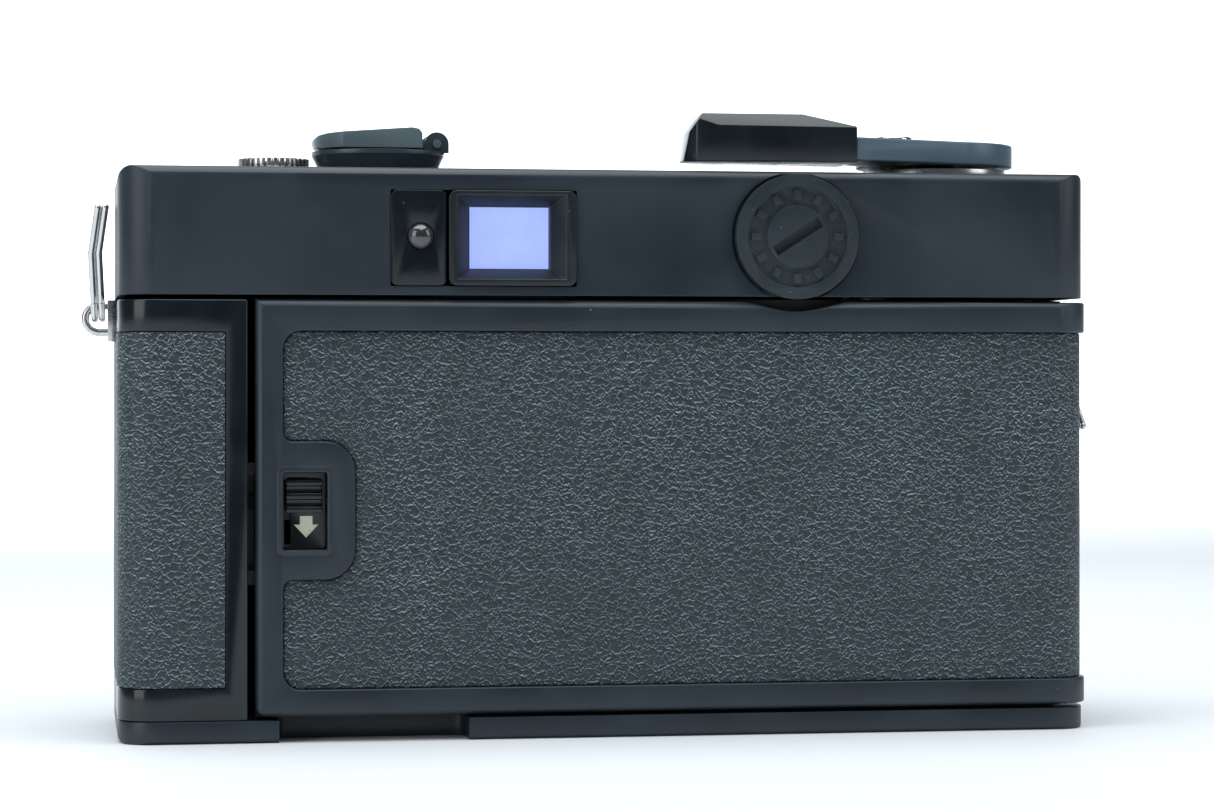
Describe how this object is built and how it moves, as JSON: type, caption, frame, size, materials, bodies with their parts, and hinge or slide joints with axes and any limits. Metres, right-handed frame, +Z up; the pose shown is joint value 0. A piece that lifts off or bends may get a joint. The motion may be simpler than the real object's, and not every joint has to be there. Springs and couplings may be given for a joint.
{
  "type": "35 mm rangefinder camera",
  "caption": "Compact black 35 mm film camera with a hinged film door, fold-out rewind crank, winding lever, coupled viewfinder, coin-slot battery cap and strap rings.",
  "frame": {"origin": "mouth of the tripod socket, under the lens axis, on the plane the camera stands on", "axes": "+Z up, -Y out of the lens, +Y out of the film door, +X to the grip end, where the rewind crank is"},
  "size_m": [0.1191, 0.0591, 0.0706],
  "materials": {
    "casting": "black anodised die casting",
    "satin_black": "satin blue-black enamel",
    "leatherette": "black pebbled leatherette",
    "bright_steel": "bright turned steel",
    "ring_steel": "bright wire",
    "black_plastic": "gloss black",
    "film_rail": "polished rails on a black plate",
    "finder_glass": "coated, lilac blue",
    "lamp_glass": "smoky clear",
    "inner_plastic": "matt black",
    "prism_glass": "clear",
    "cell_steel": "nickel plated",
    "board": "lacquered board",
    "lens_black": "black anodised",
    "blade_steel": "blackened spring steel",
    "lens_glass": "coated",
    "counter_glass": "clear",
    "plate_black": "black",
    "knob_black": "satin black anodised",
    "lever_black": "satin blue-black",
    "gear_brass": "milled",
    "sprocket_metal": "satin",
    "dial_white": "matt white",
    "button_chrome": "polished",
    "seal_rubber": "matt",
    "cap_plastic": "fine-textured black"
  },
  "bodies": {
    "camera_body": {"chassis": "casting", "front_shell": "satin_black", "front_leather": "leatherette", "top_cover": "satin_black", "base_plate": "satin_black", "base_screws": "bright_steel", "tripod_socket": "bright_steel", "grip_frame": "black_plastic", "grip_leather": "leatherette", "film_gate": "film_rail", "hinge_pin": "bright_steel", "door_catch": "blade_steel", "eyepiece_frame": "black_plastic", "eyepiece_lens": "finder_glass", "lamp_plate": "black_plastic", "lamp_lens": "lamp_glass", "window_bezel": "black_plastic", "front_windows": "finder_glass", "finder_tunnel": "inner_plastic", "beam_splitter": "prism_glass", "range_prism": "prism_glass", "battery_tube": "inner_plastic", "battery_cells": "cell_steel", "circuit_board": "board", "strap_lugs": "bright_steel", "sync_socket": "bright_steel", "lens_barrel": "lens_black", "shutter_case": "casting", "shutter_blades": "blade_steel", "top_collars": "bright_steel", "counter_window": "counter_glass", "battery_gasket": "seal_rubber"},
    "door": {"film_door": "satin_black", "door_leather": "leatherette", "latch_plate": "black_plastic", "pressure_plate": "plate_black", "pressure_spring": "bright_steel"},
    "latch": {"latch_slider": "black_plastic", "latch_hook": "blade_steel"},
    "winding_lever": {"winding_lever": "lever_black", "lever_tip": "black_plastic", "lever_gear": "gear_brass"},
    "idler": {"idler_gear": "gear_brass"},
    "sprocket": {"sprocket": "sprocket_metal"},
    "spool": {"take_up_spool": "inner_plastic"},
    "counter": {"counter_dial": "dial_white"},
    "rewind_sleeve": {"rewind_bush": "bright_steel"},
    "rewind": {"rewind_knob": "knob_black"},
    "crank": {"rewind_crank": "knob_black"},
    "crank_grip": {"crank_knob": "inner_plastic"},
    "check_button": {"check_button": "bright_steel"},
    "release_button": {"release_button": "button_chrome"},
    "battery_cap": {"battery_cap": "cap_plastic"},
    "left_ring": {"strap_ring_left": "ring_steel"},
    "right_ring": {"strap_ring_right": "ring_steel"},
    "focus_ring": {"focus_ring": "lens_black"},
    "lens_cell": {"lens_cell": "lens_black", "front_element": "lens_glass"},
    "aperture_ring": {"aperture_ring": "lens_black"},
    "self_timer": {"self_timer_lever": "lens_black"}
  },
  "joints": [
    {"name": "door_hinge", "type": "hinge", "parent": "camera_body", "child": "door", "pos_m": [-0.0456, 0.005, 0.026], "axis": [0, 0, 1], "range_deg": [0, 105]},
    {"name": "latch_slide", "type": "slide", "parent": "door", "child": "latch", "axis": [0, 0, -1], "range_m": [0, 0.0033], "stiffness_N_per_m": 150, "springref_m": -0.003},
    {"name": "lever_turn", "type": "hinge", "parent": "camera_body", "child": "winding_lever", "pos_m": [-0.0322, 0, 0.06], "axis": [0, 0, 1], "range_deg": [0, 139.6], "stiffness_Nm_per_rad": 0.02, "springref_deg": -11.46},
    {"name": "idler_turn", "type": "hinge", "parent": "camera_body", "child": "idler", "pos_m": [-0.02261, -0.00427, 0.052], "axis": [0, 0, 1], "range_deg": [-350, 0]},
    {"name": "sprocket_turn", "type": "hinge", "parent": "camera_body", "child": "sprocket", "pos_m": [-0.0234, 0.0052, 0.026], "axis": [0, 0, 1], "range_deg": [0, 480]},
    {"name": "spool_turn", "type": "hinge", "parent": "camera_body", "child": "spool", "pos_m": [-0.0322, 0, 0.026], "axis": [0, 0, 1], "range_deg": [0, 384]},
    {"name": "counter_turn", "type": "hinge", "parent": "camera_body", "child": "counter", "pos_m": [-0.0143, -0.0102, 0.06], "axis": [0, 0, 1], "range_deg": [0, 9.05]},
    {"name": "rewind_lift", "type": "slide", "parent": "camera_body", "child": "rewind_sleeve", "axis": [0, 0, 1], "range_m": [0, 0.006]},
    {"name": "rewind_turn", "type": "hinge", "parent": "rewind_sleeve", "child": "rewind", "pos_m": [0.0343, -0.0008, 0.06], "axis": [0, 0, 1], "continuous": true},
    {"name": "crank_fold", "type": "hinge", "parent": "rewind", "child": "crank", "pos_m": [0.0277, -0.0008, 0.0676], "axis": [0, -1, 0], "range_deg": [0, 175]},
    {"name": "crank_grip_spin", "type": "hinge", "parent": "crank", "child": "crank_grip", "pos_m": [0.0386, -0.0008, 0.066], "axis": [0, 0, 1], "continuous": true},
    {"name": "check_press", "type": "slide", "parent": "camera_body", "child": "check_button", "axis": [0, 0, -1], "range_m": [0, 0.0006], "stiffness_N_per_m": 300, "springref_m": -0.002},
    {"name": "release_press", "type": "slide", "parent": "camera_body", "child": "release_button", "axis": [0, 0, -1], "range_m": [0, 0.0022], "stiffness_N_per_m": 250, "springref_m": -0.003},
    {"name": "battery_cap_turn", "type": "hinge", "parent": "camera_body", "child": "battery_cap", "pos_m": [-0.0117, 0.0165, 0.0565], "axis": [0, 1, 0], "continuous": true},
    {"name": "left_ring_swing", "type": "hinge", "parent": "camera_body", "child": "left_ring", "pos_m": [0.06645, -0.0037, 0.0473], "axis": [0, 1, 0], "range_deg": [0, 172]},
    {"name": "right_ring_swing", "type": "hinge", "parent": "camera_body", "child": "right_ring", "pos_m": [-0.04845, -0.0037, 0.0473], "axis": [0, 1, 0], "range_deg": [0, 172]},
    {"name": "focus_turn", "type": "hinge", "parent": "camera_body", "child": "focus_ring", "pos_m": [0, -0.03, 0.0265], "axis": [0, -1, 0], "range_deg": [0, 90]},
    {"name": "lens_extend", "type": "slide", "parent": "camera_body", "child": "lens_cell", "axis": [0, -1, 0], "range_m": [0, 0.0019]},
    {"name": "aperture_turn", "type": "hinge", "parent": "camera_body", "child": "aperture_ring", "pos_m": [0, -0.024, 0.0265], "axis": [0, -1, 0], "range_deg": [0, 100]},
    {"name": "self_timer_turn", "type": "hinge", "parent": "camera_body", "child": "self_timer", "pos_m": [0.041, -0.018, 0.039], "axis": [0, -1, 0], "range_deg": [0, 120]}
  ],
  "couplings": [
    {"joint": "idler_turn", "follows": "lever_turn", "ratio": -2.5},
    {"joint": "sprocket_turn", "follows": "lever_turn", "ratio": 3.4375},
    {"joint": "spool_turn", "follows": "lever_turn", "ratio": 2.75},
    {"joint": "counter_turn", "follows": "lever_turn", "ratio": 0.0645},
    {"joint": "lens_extend", "follows": "focus_turn", "m_per_rad": 0.0012}
  ]
}
